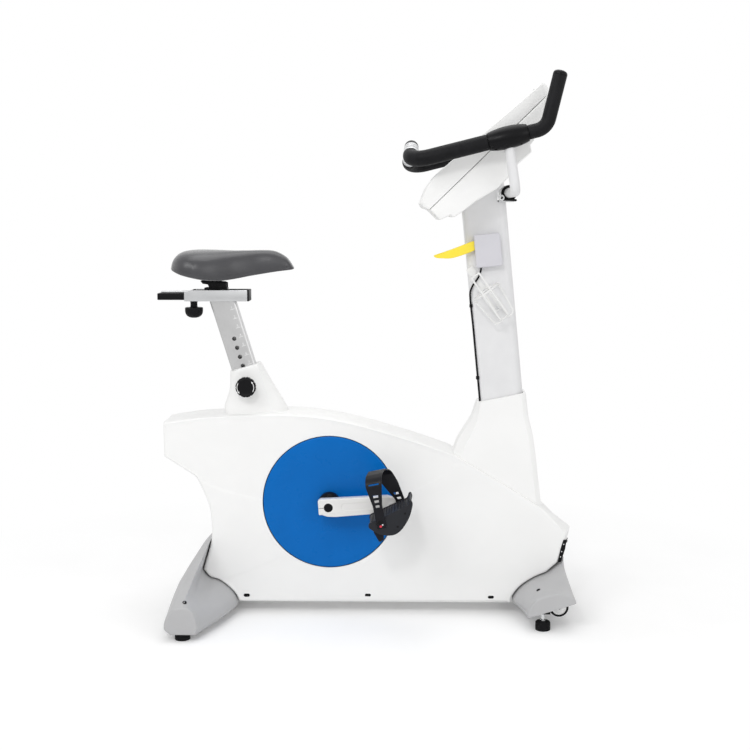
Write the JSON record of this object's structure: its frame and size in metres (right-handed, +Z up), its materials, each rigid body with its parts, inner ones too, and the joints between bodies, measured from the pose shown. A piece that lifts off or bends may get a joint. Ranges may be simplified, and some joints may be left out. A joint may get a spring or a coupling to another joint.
{
  "type": "upright rehabilitation ergometer",
  "caption": "Upright rehabilitation ergometer: white casing, cranks with strap pedals, sliding saddle on a pinned post, mast with tilting handlebar and a large slanted console.",
  "frame": {"origin": "on the floor, at the middle of the bounding box in plan", "axes": "+Z up, +X forward from the saddle to the console, +Y to the rider's left"},
  "size_m": [1.134, 0.63, 1.448],
  "materials": {
    "white_abs": "smooth injection-moulded white, low sheen",
    "white_coated_wire": "white plastic dip coat",
    "light_grey_coated_steel": "satin powder coat",
    "grey_abs": "fine-textured mid grey",
    "dark_grey_nylon": "moulded, matte",
    "black_nylon": "moulded, satin",
    "black_rubber": "matte",
    "black_foam": "soft closed-cell foam, matte",
    "saddle_skin": "smooth moulded polyurethane skin",
    "blue_abs": "smooth blue",
    "brushed_steel": "brushed along the tube",
    "black_coated_steel": "black powder coat",
    "light_grey_coated_alloy": "satin light grey paint",
    "cast_iron": "turned rim",
    "bright_steel": "ground",
    "screen_glass": "dark polished screen window",
    "lavender_grey_abs": "smooth moulded",
    "yellow_abs": "smooth moulded"
  },
  "bodies": {
    "frame": {"main_frame": "black_coated_steel", "rear_stabiliser": "black_coated_steel", "front_stabiliser": "black_coated_steel", "rear_foot_cover_right": "grey_abs", "rear_foot_cover_left": "grey_abs", "front_foot_cover_right": "grey_abs", "front_foot_cover_left": "grey_abs", "casing_right": "white_abs", "casing_left": "white_abs", "mast_cover": "white_abs", "seat_post_cover": "white_abs", "mast": "light_grey_coated_steel", "console_front": "white_abs", "console_back": "white_abs", "display_panel": "screen_glass", "pivot_bracket": "black_coated_steel", "module_box": "lavender_grey_abs", "module_cable": "black_rubber", "bottle_cage": "white_coated_wire", "bearing_right": "bright_steel", "bearing_left": "bright_steel", "drive_belt": "black_rubber", "brake_coil": "black_coated_steel", "inlet_panel": "black_nylon"},
    "foot_rear_right": {"levelling_foot_rear_right": "black_rubber"},
    "foot_rear_left": {"levelling_foot_rear_left": "black_rubber"},
    "foot_front_right": {"levelling_foot_front_right": "black_rubber"},
    "foot_front_left": {"levelling_foot_front_left": "black_rubber"},
    "wheel_right": {"transport_wheel_right": "black_rubber"},
    "wheel_left": {"transport_wheel_left": "black_rubber"},
    "cranks": {"crank_axle": "black_coated_steel", "crank_right": "light_grey_coated_alloy", "crank_left": "light_grey_coated_alloy", "disc_right": "blue_abs", "disc_left": "blue_abs", "drive_pulley": "black_nylon"},
    "pedal_right_side": {"pedal_right": "dark_grey_nylon", "pedal_strap_right": "black_rubber"},
    "pedal_left_side": {"pedal_left": "dark_grey_nylon", "pedal_strap_left": "black_rubber"},
    "flywheel_body": {"flywheel": "cast_iron"},
    "seat_column": {"seat_post": "brushed_steel", "seat_rail": "brushed_steel"},
    "seat_carriage": {"seat_slider": "black_coated_steel", "saddle_clamp": "black_coated_steel"},
    "saddle_body": {"saddle_base": "dark_grey_nylon", "saddle": "saddle_skin"},
    "height_knob_body": {"height_knob": "black_nylon"},
    "fore_aft_knob_body": {"fore_aft_knob": "black_nylon"},
    "bars": {"handlebar": "light_grey_coated_steel", "horn_grip_right": "black_foam", "horn_grip_left": "black_foam", "bar_grip_right": "black_foam", "bar_grip_left": "black_foam", "clamp_cover_right": "grey_abs", "clamp_cover_left": "grey_abs", "pulse_sensor_bar": "grey_abs"},
    "lever": {"pivot_lever": "black_coated_steel"},
    "paddle": {"module_paddle": "yellow_abs"},
    "rocker": {"rocker_switch": "black_nylon"}
  },
  "joints": [
    {"name": "crank_spin", "type": "hinge", "parent": "frame", "child": "cranks", "pos_m": [-0.098, 0, 0.315], "axis": [0, 1, 0], "continuous": true},
    {"name": "pedal_right_spin", "type": "hinge", "parent": "cranks", "child": "pedal_right_side", "pos_m": [0.07215, -0.21, 0.3176], "axis": [0, 1, 0], "continuous": true},
    {"name": "pedal_left_spin", "type": "hinge", "parent": "cranks", "child": "pedal_left_side", "pos_m": [-0.26726, 0.21, 0.29743], "axis": [0, 1, 0], "continuous": true},
    {"name": "flywheel_spin", "type": "hinge", "parent": "frame", "child": "flywheel_body", "pos_m": [0.206, 0, 0.272], "axis": [0, 1, 0], "continuous": true},
    {"name": "seat_height", "type": "slide", "parent": "frame", "child": "seat_column", "axis": [-0.2924, 0, 0.9563], "range_m": [-0.13, 0.104]},
    {"name": "seat_fore_aft", "type": "slide", "parent": "seat_column", "child": "seat_carriage", "axis": [1, 0, 0], "range_m": [-0.03, 0.06]},
    {"name": "saddle_tilt", "type": "hinge", "parent": "seat_carriage", "child": "saddle_body", "pos_m": [-0.413, 0, 0.906], "axis": [0, 1, 0], "range_deg": [-10, 10]},
    {"name": "height_knob_pull", "type": "slide", "parent": "frame", "child": "height_knob_body", "axis": [0, -1, 0], "range_m": [0, 0.012], "stiffness_N_per_m": 900, "springref_m": -0.008},
    {"name": "fore_aft_knob_turn", "type": "hinge", "parent": "seat_column", "child": "fore_aft_knob_body", "pos_m": [-0.4715, 0, 0.83], "axis": [0, 0, 1], "range_deg": [-180, 180]},
    {"name": "handlebar_tilt", "type": "hinge", "parent": "frame", "child": "bars", "pos_m": [0.383, 0, 1.15], "axis": [0, 1, 0], "range_deg": [-20, 20]},
    {"name": "pivot_lever_swing", "type": "hinge", "parent": "frame", "child": "lever", "pos_m": [0.362, -0.042, 1.137], "axis": [0, 1, 0], "range_deg": [0, 60]},
    {"name": "paddle_press", "type": "hinge", "parent": "frame", "child": "paddle", "pos_m": [0.292, -0.0475, 1.01], "axis": [0, -1, 0], "range_deg": [0, 12], "stiffness_Nm_per_rad": 0.8, "springref_deg": -8.59},
    {"name": "rocker_switch_tip", "type": "hinge", "parent": "frame", "child": "rocker", "pos_m": [0.55186, -0.03613, 0.19062], "axis": [0.2524, 0.9676, 0], "range_deg": [-8, 8]},
    {"name": "wheel_right_spin", "type": "hinge", "parent": "frame", "child": "wheel_right", "pos_m": [0.519, -0.16, 0.051], "axis": [0, 1, 0], "continuous": true},
    {"name": "wheel_left_spin", "type": "hinge", "parent": "frame", "child": "wheel_left", "pos_m": [0.519, 0.16, 0.051], "axis": [0, 1, 0], "continuous": true},
    {"name": "foot_rear_right_turn", "type": "hinge", "parent": "frame", "child": "foot_rear_right", "pos_m": [-0.47, -0.288, 0.02], "axis": [0, 0, 1], "range_deg": [-360, 360]},
    {"name": "foot_rear_left_turn", "type": "hinge", "parent": "frame", "child": "foot_rear_left", "pos_m": [-0.47, 0.288, 0.02], "axis": [0, 0, 1], "range_deg": [-360, 360]},
    {"name": "foot_front_right_turn", "type": "hinge", "parent": "frame", "child": "foot_front_right", "pos_m": [0.473, -0.196, 0.02], "axis": [0, 0, 1], "range_deg": [-360, 360]},
    {"name": "foot_front_left_turn", "type": "hinge", "parent": "frame", "child": "foot_front_left", "pos_m": [0.473, 0.196, 0.02], "axis": [0, 0, 1], "range_deg": [-360, 360]}
  ],
  "couplings": [
    {"joint": "flywheel_spin", "follows": "crank_spin", "ratio": 7.45}
  ]
}
